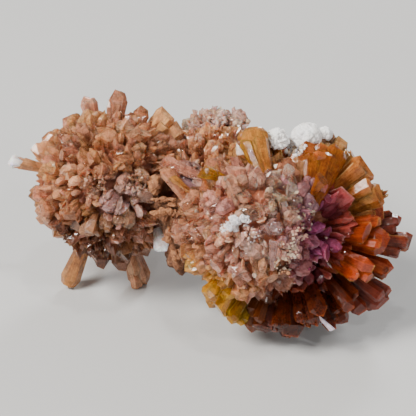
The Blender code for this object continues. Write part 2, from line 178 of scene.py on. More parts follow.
# %% [markdown]
# The rock fills the gap between the two big balls, with a hollow that faces the viewer, and
# the crust lies on top of the right one. Both are rounded lumps, each given by its middle
# and its half size. In a few clearings no blade may end, which keeps the hollow open.

# %% Rock, hollow and crust
ROCK_LUMPS = [
    (seen_at(-15.0, 4.4, -1.6), (2.9, 3.9, 4.0)),
    (seen_at(-13.9, 0.4, -2.2), (2.2, 3.2, 3.2)),
    (seen_at(-13.6, -3.3, -2.4), (2.3, 2.5, 2.6)),
]
HOLLOW = seen_at(-14.7, 4.9, 1.8)
HOLLOW_HALF_SIZE = (1.9, 1.7, 3.0)
CLEARINGS = [(HOLLOW, 2.9), (seen_at(5.8, 2.4, 8.6), 2.7), (seen_at(-3.6, 9.4, 7.6), 2.8)]
CRUST_LUMPS = {
    "white_crust_top": [
        (seen_at(2.4, 12.0, 1.6), (2.1, 1.8, 2.0)),
        (seen_at(4.7, 12.3, 1.4), (1.1, 1.0, 1.1)),
    ],
    "white_crust_ridge": [(seen_at(-1.4, 11.6, 2.6), (1.5, 1.6, 1.4))],
}
print(len(ROCK_LUMPS), "lumps of rock")

# %% [markdown]
# The rest of each ball is filled by rule. Points on a golden spiral cover a ball evenly, and
# a little seeded chance keeps the rows from showing. A point is skipped where it would be
# buried in another ball, stand in a placed blade, or stick up through the crust.

# %% Filling crystals
GOLDEN_ANGLE = math.pi * (3 - math.sqrt(5))
# How close a crystal may come to a placed one, and to the middle of a crust lump
SHARE_OF_WIDTHS = 0.42
SHARE_OF_LUMP = 0.7


def count_on(area, spacing):
    """How many points stand on an area when each has neighbours at the spacing on six sides."""
    return round(area / (0.87 * spacing**2))


def clear_of_neighbours(name, tip):
    return all(
        (tip - other.centre).length > 0.5 * (other.core + other.reach)
        for key, other in BALLS.items()
        if key != name
    )


def clear_of_features(name, tip, width):
    ball = BALLS[name]
    direction = (tip - ball.centre).normalized()
    for feature in FEATURE_CRYSTALS:
        if feature.ball != name:
            continue
        apart = direction.angle(feature.tip - ball.centre) * ball.reach
        if apart < SHARE_OF_WIDTHS * (width + feature.width):
            return False
    return True


def in_clearing(point):
    return any((point - middle).length < radius for middle, radius in CLEARINGS)


def in_crust(point):
    return any(
        (point - middle).length < SHARE_OF_LUMP * max(half_size)
        for lumps in CRUST_LUMPS.values()
        for middle, half_size in lumps
    )


def spiral_directions(count, jitter, chance):
    """Directions spread evenly over a ball, each a little out of place."""
    for i in range(count):
        height = 1 - (2 * i + 1) / count
        ring = math.sqrt(1 - height * height)
        turn = GOLDEN_ANGLE * i
        direction = Vector((ring * math.cos(turn), ring * math.sin(turn), height))
        yield direction + jitter * nudge(chance)


def filling_crystals(name, chance):
    ball = BALLS[name]
    found = []
    for near, coarser in ((True, 1.0), (False, 1.3)):
        spacing = coarser * ball.spacing
        count = count_on(4 * math.pi * ball.reach**2, spacing)
        for direction in spiral_directions(count, 0.13 * spacing / ball.reach, chance):
            reach = ball.reach * chance.uniform(0.9, 1.06)
            width = coarser * ball.width * chance.uniform(0.85, 1.15)
            thickness = width * chance.uniform(0.65, 0.9)
            roll = chance.uniform(0, math.pi)
            shoulder = chance.uniform(0.8, 0.91)
            ridge = chance.uniform(0.2, 0.7)
            slant = chance.uniform(0.0, 0.7)
            tip = ball.centre + reach * direction.normalized()
            if near != (direction.dot(TOWARDS) > -0.2):
                continue
            if not clear_of_neighbours(name, tip) or not clear_of_features(name, tip, width):
                continue
            if in_clearing(tip) or in_crust(tip):
                continue
            found.append(Crystal(name, tip, width, thickness, roll, 4, shoulder, ridge, slant))
    return found


chance = random.Random(11)
large = list(FEATURE_CRYSTALS)
for name in BALLS:
    large += filling_crystals(name, chance)
print(len(large), "large crystals")

# %% [markdown]
# ## Smaller crystals
# Between the large blades sit many smaller ones, leaning every way, and over the front of
# the right ball they stand shoulder to shoulder. They follow the same spiral in two layers,
# the second closer and finer than the first. All stay a little lower than the large blades,
# so that the outline doesn't change.

# %% Smaller crystals
Sprout = namedtuple("Sprout", "crystal start axis")
Layer = namedtuple("Layer", "spacing widths heights lean")
LAYERS = {
    "medium": Layer(2.3, (1.4, 2.8), (0.5, 1.0), 0.2),
    "small": Layer(1.6, (0.7, 1.6), (0.2, 0.9), 0.3),
}
# The right ball has fewer and broader ones, above all in front.
COARSER = {"front": 1.35, "right": 1.25, "rear": 1.25}
# How deep they start, as a share of the core's radius
SPROUT_DEPTH = 0.72


def sprouts(name, layer, chance):
    ball = BALLS[name]
    coarser = COARSER.get(name, 1)
    spacing = coarser * layer.spacing
    found = []
    count = count_on(4 * math.pi * ball.reach**2, spacing)
    for direction in spiral_directions(count, 0.28 * spacing / ball.reach, chance):
        direction.normalize()
        reach = ball.core + (ball.reach - ball.core) * chance.uniform(*layer.heights)
        width = coarser * chance.uniform(*layer.widths)
        thickness = width * chance.uniform(0.3, 0.6)
        roll = chance.uniform(0, math.pi)
        lean = nudge(chance, layer.lean)
        ridge = chance.uniform(0.1, 0.7)
        slant = chance.uniform(0.0, 0.8)
        blunt = chance.uniform(0.4, 1.1)
        start = ball.centre + SPROUT_DEPTH * ball.core * direction
        axis = (direction + lean).normalized()
        length = reach - SPROUT_DEPTH * ball.core
        tip = start + length * axis
        if not clear_of_neighbours(name, tip) or in_clearing(tip) or in_crust(tip):
            continue
        shoulder = 1 - blunt * width / length
        crystal = Crystal(name, tip, width, thickness, roll, 4, shoulder, ridge, slant)
        found.append(Sprout(crystal, start, axis))
    return found


chance = random.Random(21)
layers = {}
for key, layer in LAYERS.items():
    layers[key] = [sprout for name in BALLS for sprout in sprouts(name, layer, chance)]
print({key: len(found) for key, found in layers.items()})

# %% [markdown]
# ## The shape of one blade
# A real blade is a flattened prism with six sides. It widens from its root, and ends in a
# chisel, in one slanted flat, or in a chisel with a steeper step below it. A cone with its
# end moved would do for one of them. Thousands go faster as rings of points that are worked
# out once and then turned and stretched, so a blade here is a few rings joined by quads.

# %% Blade shape
SECTION = np.array([(0, 1), (-1, 0.52), (-1, -0.52), (0, -1), (1, -0.52), (1, 0.52)], float)
ENDS = ("chisel", "flat", "stepped")


def blade_points(crystal, length, root, end):
    """Points in the blade's own place, and its faces, which look outwards. Its width lies along Y."""
    half = np.array([crystal.thickness / 2, crystal.width / 2])
    shaft = crystal.shoulder * length
    tip = length - shaft
    levels = [(0.45, root), (1.0, shaft)]
    if end == "stepped":
        levels.append((0.74, shaft + 0.55 * tip))
    rings = []
    for scale, height in levels:
        ring = np.column_stack((SECTION * half * scale, np.full(6, height)))
        rings.append(ring)
    if end == "flat":
        rings[-1][:, 2] += tip * (0.5 + 0.5 * SECTION[:, 1]) * 0.9
        rings[-1][:, 2] += tip * 0.12 * SECTION[:, 0]
    points = np.vstack(rings)
    faces = [tuple(range(5, -1, -1))]
    for k in range(len(rings) - 1):
        a, b = 6 * k, 6 * k + 6
        faces += [(a + i, a + (i + 1) % 6, b + (i + 1) % 6, b + i) for i in range(6)]
    top = 6 * len(rings) - 6
    if end == "flat":
        faces.append(tuple(top + i for i in range(6)))
        return points, faces
    edge = crystal.ridge * half[1] * levels[-1][0]
    points = np.vstack((points, [(0, edge, length), (0, -edge, length - crystal.slant * tip)]))
    high, low = len(points) - 2, len(points) - 1
    faces += [(top, top + 1, high), (top + 1, top + 2, low, high), (top + 2, top + 3, low)]
    faces += [(top + 3, top + 4, low), (top + 4, top + 5, high, low), (top + 5, top, high)]
    return points, faces


print("a chisel-ended blade has", len(blade_points(large[0], 10, 3, "chisel")[1]), "faces")

# %% [markdown]
# ## Colour by place
# The cluster isn't one orange. It is peach on the left, pale and rosy in front, deep orange
# and purple on the right, with a few yellow and a few almost clear blades. Painting a
# texture would tie the colour to this one mesh. Here each blade takes one colour, as it does
# in nature, from a short list of patches, each with a named tint, a middle and a radius.

# %% Tints
TINTS = {
    "peach": (0.64, 0.285, 0.145),
    "rose": (0.72, 0.33, 0.215),
    "pale": (0.76, 0.44, 0.32),
    "clear": (0.88, 0.66, 0.52),
    "amber": (0.54, 0.23, 0.045),
    "orange": (0.36, 0.048, 0.002),
    "rust": (0.10, 0.017, 0.004),
    "brown": (0.055, 0.008, 0.002),
    "purple": (0.22, 0.045, 0.12),
    "pink": (0.13, 0.021, 0.013),
    "yellow": (0.50, 0.23, 0.012),
    "grey": (0.50, 0.32, 0.29),
    "white": (0.86, 0.84, 0.84),
    "blush": (0.86, 0.51, 0.39),
    "cream": (0.74, 0.58, 0.42),
    "tan": (0.52, 0.25, 0.11),
    "ochre": (0.31, 0.085, 0.008),
    # a painted glint, taken only by the thin strip under the right ball
    "painted_lilac_glint": (0.72, 0.62, 0.74),
}
# tint, and how clear its blades are
BALL_LOOKS = {
    "right": ("rust", 0.15),
    "rear": ("rust", 0.15),
    "front": ("rose", 0.6),
    "left": ("peach", 0.5),
    "neck": ("peach", 0.4),
    "saddle": ("peach", 0.4),
    "back": ("blush", 0.4),
}
# tint, across, up, towards, radius, how clear its blades are
PATCHES = [
    ("grey", -20.6, 2.7, 4.0, 2.6, 0.5),
    ("tan", -35.0, 8.8, -5.0, 2.8, 0.0),
    ("brown", -28.9, 0.0, -2.0, 2.4, 0.3),
    ("amber", -28.6, -7.4, -12.0, 3.0, 0.25),
    ("rust", -29.0, -5.0, -10.0, 2.0, 0.3),
    ("tan", -18.8, -7.0, -12.5, 3.4, 0.35),
    # Painted shade: these three dark brown patches darken the blades under the left ball, where shade falls,
    # and make them less clear
    ("brown", -22.0, -5.0, -6.0, 4.0, 0.1),
    ("brown", -25.0, -3.6, -1.0, 4.0, 0.1),
    ("brown", -24.0, -7.0, -8.0, 5.0, 0.0),
    ("peach", -15.6, 15.0, -7.0, 2.2, 0.2),
    ("clear", -20.6, 4.4, 4.2, 1.2, 0.8),
    ("amber", -4.4, 11.4, 2.5, 3.4, 0.5),
    ("ochre", 3.8, 9.4, 6.5, 3.2, 0.2),
    ("orange", 8.0, 8.0, 4.5, 3.6, 0.2),
    ("tan", 6.6, 11.8, 1.2, 2.4, 0.3),
    ("amber", 10.0, 8.8, 2.6, 1.8, 0.4),
    ("amber", 11.6, 5.2, 3.2, 2.0, 0.5),
    ("orange", 10.4, 2.0, 5.0, 3.2, 0.2),
    ("purple", 5.8, 3.0, 8.0, 4.4, 0.15),
    ("purple", 4.6, -2.8, 10.0, 3.8, 0.15),
    ("orange", 10.6, -2.6, 5.0, 4.6, 0.2),
    ("pink", 14.0, 0.4, 1.5, 3.4, 0.15),
    ("pink", 12.0, -8.4, 0.6, 3.6, 0.05),
    ("brown", 6.0, -9.0, 6.0, 4.6, 0.05),
    ("brown", 0.2, -12.4, 4.0, 4.4, 0.05),
    ("yellow", -7.4, -11.4, 4.0, 1.6, 0.5),
    ("yellow", -9.8, -8.2, 6.4, 2.8, 0.2),
    ("yellow", -11.6, -4.4, 5.0, 2.2, 0.3),
    ("yellow", -10.6, 6.4, 6.5, 1.8, 0.6),
    ("grey", -14.4, 6.6, 3.0, 2.2, 0.4),
    ("tan", -11.5, 1.0, 4.5, 3.0, 0.4),
    ("rust", -12.6, -1.6, 3.0, 2.6, 0.3),
    ("pale", -5.2, -1.0, 13.0, 3.2, 0.5),
    ("clear", 0.2, 5.0, 11.2, 2.4, 0.7),
    ("pale", -0.4, -3.4, 12.6, 2.0, 0.4),
    ("amber", -1.7, -5.8, 12.0, 1.6, 0.2),
]
# How much the ball's own look counts, and a patch in its middle
BALL_WEIGHT = 0.6
PATCH_WEIGHT = 3.0


def colour_at(ball, tip, chance):
    """A blade's colour and clearness from the patches near its tip."""
    total = BALL_WEIGHT
    tint, clearness = BALL_LOOKS[ball]
    colour = total * np.array(TINTS[tint])
    clear = total * clearness
    for tint, across, up, towards, radius, clearness in PATCHES:
        away = (tip - seen_at(across, up, towards)).length / radius
        weight = PATCH_WEIGHT * math.exp(-(away**2))
        colour = colour + weight * np.array(TINTS[tint])
        clear += weight * clearness
        total += weight
    colour = colour / total * chance.uniform(0.78, 1.2)
    colour = colour * np.array([1, chance.uniform(0.92, 1.09), chance.uniform(0.86, 1.16)])
    return np.clip(colour, 0, 0.95), min(1.0, max(0.0, clear / total + chance.uniform(-0.25, 0.2)))


print(len(TINTS), "tints in", len(PATCHES), "patches")

# %% [markdown]
# ## Growing the blades
# Each large crystal becomes a main blade with a few companions that share its root and lean
# away a little, which is how such blades really grow. The crystals that fill in become
# bunches of narrow blades. All blades of a group go into one mesh. Three values ride along
# with the points: the colour, how clear the blade is, and where on the blade the point
# lies, which the finish uses for its growth lines.

# %% Growing
# How deep a large blade starts, as a share of the core's radius, and how narrow a blade of a bunch is
ROOT_DEPTH = 0.6
BUNCH_WIDTH = 0.62
# A crystal that reaches this much past its ball is a leg or a spire.
LEG_REACH = 1.25


def crystal_turn(crystal, axis):
    side = TOWARDS.cross(axis)
    if side.length < 0.2:
        side = ACROSS.copy()
    side = (side - side.dot(axis) * axis).normalized()
    turn = Matrix((side.cross(axis), side, axis)).transposed()
    return turn @ Matrix.Rotation(crystal.roll, 3, "Z")


class Growth:
    """Blades collected into one mesh."""

    def __init__(self, name):
        self.name = name
        self.points = []
        self.faces = []
        self.colours = []
        self.clears = []
        self.places = []
        self.count = 0

    def add(self, crystal, start, axis, length, root, end, look, shift):
        points, faces = blade_points(crystal, length, root, end)
        turn = np.array(crystal_turn(crystal, axis))
        places = points - [0, 0, length] + [shift, shift, 0]
        self.add_shape(points @ turn.T + np.array(start), faces, places, look)

    def add_shape(self, points, faces, places, look):
        self.points.append(points * MM)
        self.faces += [tuple(self.count + i for i in face) for face in faces]
        self.count += len(points)
        colour, clear = look
        self.colours.append(np.tile([*colour, 1.0], (len(points), 1)))
        self.clears.append(np.full(len(points), clear))
        self.places.append(places)

    def mesh_object(self):
        mesh = bpy.data.meshes.new(self.name)
        points = np.vstack(self.points)
        points[:, 2] = np.maximum(points[:, 2], 0)
        mesh.from_pydata(points.tolist(), [], self.faces)
        for name, kind, field, values in (
            ("blade_colour", "FLOAT_COLOR", "color", np.vstack(self.colours)),
            ("blade_place", "FLOAT_VECTOR", "vector", np.vstack(self.places)),
            ("blade_clear", "FLOAT", "value", np.concatenate(self.clears)),
        ):
            mesh.attributes.new(name, kind, "POINT").data.foreach_set(field, values.ravel())
        mesh.validate()
        obj = bpy.data.objects.new(self.name, mesh)
        bpy.context.scene.collection.objects.link(obj)
        return obj


def pick_end(chance):
    return chance.choices(ENDS, (4, 1, 4))[0]


def companions_of(crystal, reach, chance):
    """How many companions a crystal has, and how far they lean. Those that fill in have four sides."""
    if crystal.sides == 4:
        return 5, 0.36
    if crystal.ball == "right":
        return 4, 0.45
    if crystal.ball == "left" and reach > LEG_REACH * BALLS["left"].reach:
        return 2, 0.12
    return chance.choice((1, 2, 3)), 0.28


def grow_large(growth, crystal, chance):
    """A placed crystal keeps its width. One that fills in becomes a bunch of narrow blades."""
    centre = BALLS[crystal.ball].centre
    root = ROOT_DEPTH * BALLS[crystal.ball].core
    reach = crystal.tip - centre
    axis = reach.normalized()
    colour, clear = colour_at(crystal.ball, crystal.tip, chance)
    shift = chance.uniform(-50, 50)
    is_filling = crystal.sides == 4
    companions, spread = companions_of(crystal, reach.length, chance)
    width = crystal.width * (BUNCH_WIDTH if is_filling else 1)
    main = crystal._replace(width=width)
    growth.add(main, centre, axis, reach.length, root, pick_end(chance), (colour, clear), shift)
    for _ in range(companions):
        part = crystal._replace(
            width=width * chance.uniform(0.5, 0.9),
            thickness=crystal.thickness * chance.uniform(0.4, 0.8),
            roll=crystal.roll + chance.gauss(0, 0.5 if is_filling else 0.35),
            shoulder=min(0.97, crystal.shoulder + chance.uniform(0.02, 0.08)),
        )
        length = reach.length * chance.uniform(0.86, 0.99)
        lean = spread * crystal.width / reach.length * nudge(chance)
        leaning = (axis + lean).normalized()
        own = np.clip(colour * chance.uniform(0.8, 1.25), 0, 0.95)
        own_clear = min(1.0, max(0.0, clear + chance.uniform(-0.15, 0.15)))
        growth.add(part, centre, leaning, length, root, pick_end(chance), (own, own_clear), shift + 9)


def grow_sprout(growth, sprout, chance):
    crystal, start, axis = sprout
    length = (crystal.tip - start).length
    look = colour_at(crystal.ball, crystal.tip, chance)
    growth.add(crystal, start, axis, length, 0, pick_end(chance), look, chance.uniform(-50, 50))


PARTS = {
    "left": ("left", "neck"),
    "fan": ("right", "rear"),
    "front": ("front",),
    "back": ("back", "saddle"),
}
pieces = {}
for part, names in PARTS.items():
    chance = random.Random(f"{part} 1")
    growth = Growth(f"large_blades_{part}")
    for crystal in large:
        if crystal.ball in names:
            grow_large(growth, crystal, chance)
    pieces[growth.name] = growth.mesh_object()
    for key, found in layers.items():
        growth = Growth(f"{key}_blades_{part}")
        for sprout in found:
            if sprout.crystal.ball in names:
                grow_sprout(growth, sprout, chance)
        pieces[growth.name] = growth.mesh_object()
for name, piece in pieces.items():
    print(name, len(piece.data.polygons), "faces")

# %% [markdown]
# ## Blades that stand apart
# A few blades catch the eye and follow no rule: those that lean out over the hollow, the
# amber plate at the top, the broad body under the crust, glassy prisms in front, and a thin
# strip underneath whose pale lilac is a painted glint. Each has its own root and tip, given as seen from the
# front.

# %% Blades that stand apart
Accent = namedtuple("Accent", "ball root tip width thickness roll end tint clear")
ACCENTS = [
    # The spike on the left and its white end, and the pale blade under the left ball
    Accent("left", (-29.0, 7.3, -5.7), (-34.7, 8.7, -5.05), 1.9, 1.6, 28, "flat", "tan", 0.15),
    Accent("left", (-34.0, 8.5, -4.9), (-36.05, 9.0, -5.0), 1.9, 1.6, 0, "stepped", "white", 0.0),
    Accent("left", (-16.8, 0.2, -3.0), (-16.1, -2.9, -1.2), 2.1, 0.6, 10, "chisel", "white", 0.3),
    # Over the hollow
    Accent("front", (-10.4, 0.6, 4.6), (-15.9, 8.1, 3.6), 2.1, 0.9, 10, "chisel", "peach", 0.6),
    Accent("front", (-10.2, 6.4, 4.0), (-16.3, 8.9, 2.0), 2.0, 0.8, -10, "chisel", "rose", 0.65),
    Accent("front", (-11.0, 3.6, 5.0), (-15.0, 6.9, 3.9), 1.2, 0.8, 30, "flat", "amber", 0.5),
    Accent("front", (-9.8, 0.2, 6.2), (-12.6, 3.4, 6.4), 1.4, 0.9, 0, "chisel", "yellow", 0.6),
    Accent("front", (-10.2, 1.4, 5.2), (-13.2, 1.6, 5.4), 1.7, 1.1, 0, "stepped", "yellow", 0.5),
    # The amber plate at the top, and the broad body under the crust
    Accent("right", (-2.8, 5.6, 8.2), (-4.7, 13.2, 3.4), 3.6, 1.2, 0, "stepped", "amber", 0.3),
    Accent("right", (-2.2, 5.4, 8.4), (-3.7, 12.2, 4.4), 2.0, 1.1, 15, "chisel", "amber", 0.3),
    Accent("right", (-3.0, 5.2, 8.2), (-5.6, 11.6, 4.8), 1.8, 1.0, 11, "chisel", "yellow", 0.4),
    Accent("right", (2.4, 3.4, 7.6), (3.2, 9.8, 5.0), 3.2, 1.3, 10, "stepped", "ochre", 0.15),
    Accent("right", (2.8, 3.4, 7.2), (4.9, 10.6, 4.6), 3.4, 1.4, -5, "chisel", "ochre", 0.2),
    Accent("right", (3.2, 3.2, 7.0), (6.5, 10.7, 3.8), 3.2, 1.4, 15, "stepped", "ochre", 0.2),
    Accent("right", (0.6, 3.8, 7.6), (1.5, 9.4, 5.4), 2.2, 1.2, 20, "chisel", "tan", 0.2),
    # Clear and grey ones in front
    Accent("front", (-7.6, 6.4, 9.0), (-11.4, 7.6, 10.0), 2.0, 1.5, 20, "flat", "yellow", 0.55),
    Accent("front", (-5.6, 4.2, 9.4), (-6.9, 8.4, 10.2), 2.6, 1.2, 0, "flat", "rose", 0.3),
    Accent("front", (-0.4, 3.2, 9.0), (0.5, 5.6, 12.0), 1.7, 1.3, 0, "flat", "clear", 0.8),
    Accent("front", (-1.0, 5.0, 8.4), (0.2, 8.3, 11.0), 1.5, 1.1, 0, "chisel", "clear", 0.7),
    Accent("front", (-0.6, 0.4, 9.4), (0.4, 2.2, 13.0), 2.1, 1.6, 0, "stepped", "pale", 0.6),
    Accent("front", (-2.4, -0.6, 10.0), (-1.8, 0.6, 14.2), 2.6, 1.8, 20, "stepped", "grey", 0.6),
    Accent("front", (-2.2, -5.0, 12.4), (-2.0, -1.2, 13.6), 1.2, 1.0, 0, "flat", "grey", 0.6),
    Accent("front", (3.0, 4.6, 8.6), (4.3, 6.8, 10.2), 1.9, 1.6, 15, "flat", "ochre", 0.3),
    # Yellow ones, and the thin strip underneath, painted pale lilac as a glint
    Accent("right", (-7.6, -5.4, 6.0), (-10.7, -8.7, 7.4), 2.5, 1.8, 0, "stepped", "yellow", 0.45),
    Accent("right", (-6.8, -6.6, 5.4), (-9.2, -10.4, 6.0), 2.3, 1.6, 20, "flat", "yellow", 0.45),
    Accent("right", (3.6, -10.8, 5.4), (5.7, -12.8, 5.0), 0.7, 0.35, 10, "flat", "painted_lilac_glint", 0.0),
]


def grow_accent(growth, accent, chance):
    root, tip = seen_at(*accent.root), seen_at(*accent.tip)
    length = (tip - root).length
    roll = math.radians(accent.roll)
    shoulder = 1 - 0.4 * accent.width / length
    crystal = Crystal(accent.ball, tip, accent.width, accent.thickness, roll, 6, shoulder, 0.6, 0.4)
    axis = (tip - root).normalized()
    look = (np.array(TINTS[accent.tint]), accent.clear)
    growth.add(crystal, root, axis, length, 0, accent.end, look, chance.uniform(-50, 50))


growth = Growth("accent_blades")
for accent in ACCENTS:
    grow_accent(growth, accent, chance)
pieces[growth.name] = growth.mesh_object()
print(len(ACCENTS), "blades that stand apart")

# %% [markdown]
# ## Sugar and powder
# The front of the right ball looks as if sugar had been strewn over it: tiny crystals have
# grown on the faces of the large ones, and in a few places a white or cream powder lies on
# them. To seat them, a ray is sent in from the viewer's side, and a tiny blade is set where
# it meets a larger one, leaning out of that face. Powder is rounded grains, nearly sunk in.

# %% Sugar and powder
Sowing = namedtuple("Sowing", "across up towards radius spacing widths tints lengths", defaults=[None])
SUGAR = [
    Sowing(-4.6, 0.6, 13.0, 9.5, 2.6, (0.4, 0.9), ("own", "own", "clear"), (0.4, 0.8)),
    Sowing(2.4, 1.8, 11.5, 1.6, 0.6, (0.3, 0.7), ("cream", "own"), (0.3, 0.7)),
    Sowing(-24.6, 5.8, 4.0, 1.8, 0.6, (0.3, 0.7), ("pale", "own"), (0.3, 0.7)),
    Sowing(-19.6, 5.8, 3.4, 1.6, 0.6, (0.3, 0.7), ("pale", "own"), (0.3, 0.7)),
    Sowing(-9.3, 12.0, -6.0, 5.0, 1.0, (0.4, 0.9), ("own", "own", "pale"), (0.5, 1.1)),
]
POWDER = [
    Sowing(-7.1, 0.8, 12.5, 0.9, 0.17, (0.25, 0.6), ("white",)),
    Sowing(-5.7, 1.2, 12.5, 0.7, 0.2, (0.2, 0.5), ("white",)),
    Sowing(-8.2, 0.3, 12.5, 0.6, 0.22, (0.2, 0.4), ("white", "pale")),
    Sowing(-4.8, 0.6, 12.5, 0.6, 0.25, (0.2, 0.4), ("white", "pale")),
    Sowing(-4.6, -0.8, 12.5, 1.0, 0.4, (0.2, 0.4), ("white", "pale")),
    Sowing(1.2, -0.6, 12.0, 1.0, 0.36, (0.25, 0.5), ("cream", "pale")),
    Sowing(0.2, -2.6, 12.0, 1.2, 0.36, (0.25, 0.5), ("cream", "pale")),
    Sowing(-0.9, -4.4, 12.0, 1.1, 0.36, (0.25, 0.5), ("cream", "cream", "tan")),
    Sowing(0.9, 10.6, 5.0, 1.2, 0.3, (0.25, 0.7), ("cream", "white")),
    Sowing(0.3, 11.8, 4.0, 1.2, 0.28, (0.3, 0.9), ("white", "white", "cream")),
]


def surface_tree(names):
    """The blades of the named pieces, ready to be met by rays. In millimetres."""
    points, faces = [], []
    for name in names:
        mesh = pieces[name].data
        points += [vertex.co / MM for vertex in mesh.vertices]
        first = len(points) - len(mesh.vertices)
        faces += [[first + i for i in polygon.vertices] for polygon in mesh.polygons]
    return BVHTree.FromPolygons(points, faces)


def seats(sowing, tree, chance):
    """Points of the surface that faces the viewer, on a round patch, with the way out."""
    middle = seen_at(sowing.across, sowing.up, sowing.towards)
    count = count_on(math.pi * sowing.radius**2, sowing.spacing)
    for i in range(count):
        out = sowing.radius * math.sqrt((i + 0.5) / count)
        turn = GOLDEN_ANGLE * i
        across = out * math.cos(turn) + sowing.spacing * chance.uniform(-0.5, 0.5)
        up = out * math.sin(turn) + sowing.spacing * chance.uniform(-0.5, 0.5)
        start = middle + across * ACROSS + up * UP
        place, face_normal, _, _ = tree.ray_cast(start + 10 * TOWARDS, -TOWARDS)
        if place is None or in_clearing(place) or (place - middle).length > 8 + sowing.radius:
            continue
        ball = min(BALLS, key=lambda name: (place - BALLS[name].centre).length - BALLS[name].reach)
        outwards = (place - BALLS[ball].centre).normalized()
        axis = face_normal + 0.7 * outwards + 0.5 * nudge(chance)
        if axis.dot(face_normal) > 0.2:
            yield ball, place, axis.normalized()


def tint_for(sowing, ball, place, chance):
    colour, clear = colour_at(ball, place, chance)
    tint = chance.choice(sowing.tints)
    if tint != "own":
        colour = 0.2 * colour + 0.8 * np.array(TINTS[tint]) * chance.uniform(0.88, 1.06)
    return colour, clear


def sow_sugar(growth, sowing, tree, chance):
    for ball, place, axis in seats(sowing, tree, chance):
        width = chance.uniform(*sowing.widths)
        length = chance.uniform(*sowing.lengths)
        thickness = width * chance.uniform(0.5, 0.9)
        crystal = Crystal(ball, place, width, thickness, chance.uniform(0, 3), 4, 0.6, 0.4, 0.4)
        look = tint_for(sowing, ball, place, chance)
        end = chance.choice(ENDS)
        growth.add(crystal, place - 0.3 * axis, axis, length + 0.3, 0, end, look, chance.uniform(-50, 50))


def sow_powder(growth, sowing, tree, grain, chance):
    """Rounded grains, nearly sunk in the surface and each a little out of round."""
    points, faces = grain
    for ball, place, axis in seats(sowing, tree, chance):
        size = 0.5 * chance.uniform(*sowing.widths)
        stretch = np.array([chance.uniform(0.7, 1.3) for _ in range(3)])
        dents = 1 + 0.22 * np.sin(5 * points[:, [1, 2, 0]] + chance.uniform(0, 6))
        own = points * stretch * size * dents
        look = tint_for(sowing, ball, place, chance)
        growth.add_shape(own + np.array(place - 0.4 * size * axis), faces, own, look)


chance = random.Random(13)
tree = surface_tree([name for name in pieces if "blades" in name])
growth = Growth("sugar_blades")
for sowing in SUGAR:
    sow_sugar(growth, sowing, tree, chance)
pieces[growth.name] = growth.mesh_object()
print("sugar:", len(growth.points), "tiny crystals")

bpy.ops.mesh.primitive_ico_sphere_add(subdivisions=2, radius=1)
pattern = bpy.context.object
grain = (
    np.array([vertex.co for vertex in pattern.data.vertices]),
    [tuple(polygon.vertices) for polygon in pattern.data.polygons],
)
bpy.data.objects.remove(pattern)
growth = Growth("powder_grains")
for sowing in POWDER:
    sow_powder(growth, sowing, tree, grain, chance)
pieces[growth.name] = growth.mesh_object()
pieces[growth.name].data.shade_smooth()
print("powder:", len(growth.points), "grains")

# %% [markdown]
# ## Cores, rock and crust
# Under the blades lies the mass they have grown together into. It shows only as glimpses
# between them, so a finely divided ball with a crumbly surface is enough. The one in front
# is rosier than the rest. A lump pushed out of shape by several layers of noise is rough at
# every scale, and the cores, the rock and the crust are all made of such lumps.

# %% Rounded lumps
def lump(name, middle, half_size, subdivisions, roughness, scale, seed):
    """A ball pushed in and out along its normals. Lengths are in millimetres."""
    bpy.ops.mesh.primitive_ico_sphere_add(subdivisions=subdivisions, radius=1)
    obj = bpy.context.object
    obj.name = name
    for vertex in obj.data.vertices:
        direction = vertex.co.normalized()
        local = Vector([a * b for a, b in zip(direction, half_size)])
        push = roughness * noise.turbulence(scale * local + Vector((seed, seed, 0)), 4, False)
        vertex.co = (middle + FROM_VIEW @ (local + (push - 0.5 * roughness) * direction)) * MM
    return obj


def joined(name, objects):
    bpy.ops.object.select_all(action="DESELECT")
    for obj in objects:
        obj.select_set(True)
    bpy.context.view_layer.objects.active = objects[0]
    bpy.ops.object.join()
    objects[0].name = name
    return objects[0]


cores = {
    name: lump(f"core_{name}", ball.centre, (ball.core - 0.9,) * 3, 5, 0.8, 1.3, 4)
    for name, ball in BALLS.items()
}
pieces["core_front"] = cores.pop("front")
foot = lump("stump", Vector((10.1, -2.8, 2.6)), (4.7, 4.0, 4.2), 5, 0.9, 0.5, 2)
for vertex in foot.data.vertices:
    vertex.co.z = max(vertex.co.z, 0)
pieces["grown_cores"] = joined("grown_cores", [*cores.values(), foot])
print("cores and stump:", len(pieces["grown_cores"].data.polygons), "faces")

# %% [markdown]
# The rock is rusty brown, and its face is pushed back to leave the hollow. Its brown is made
# darker than the rock's own, as painted shade in the hollow. In front of it stand paler forms
# that the eye picks out: a rib and a ledge across the hollow, a dome above them, and nodules
# below. Their tan is partly the rock's own and partly painted light, a lighter copy of the
# same rock where it stands out. They could be carved from the rock, but rows of small lumps
# give the same broken edges and can be placed one by one.

# %% Rock in the hollow
def hollowed(obj):
    """Push the rock's face back to the far side of the hollow."""
    to_view = FROM_VIEW.transposed()
    for vertex in obj.data.vertices:
        local = to_view @ (vertex.co / MM - HOLLOW)
        inside = 1 - (local.x / HOLLOW_HALF_SIZE[0]) ** 2 - (local.y / HOLLOW_HALF_SIZE[1]) ** 2
        if inside > 0:
            local.z = min(local.z, -HOLLOW_HALF_SIZE[2] * math.sqrt(inside))
            vertex.co = (HOLLOW + FROM_VIEW @ local) * MM


def ridge_lumps(name, start, end, radius, count, chance):
    """A row of rough lumps."""
    found = []
    for i in range(count):
        middle = start.lerp(end, (i + 0.5) / count) + 0.12 * nudge(chance)
        size = radius * chance.uniform(0.85, 1.15)
        length = 1.1 * (end - start).length / count
        found.append(lump(f"{name}_{i}", middle, (length, size, size), 5, 0.35, 1.4, i))
    return found


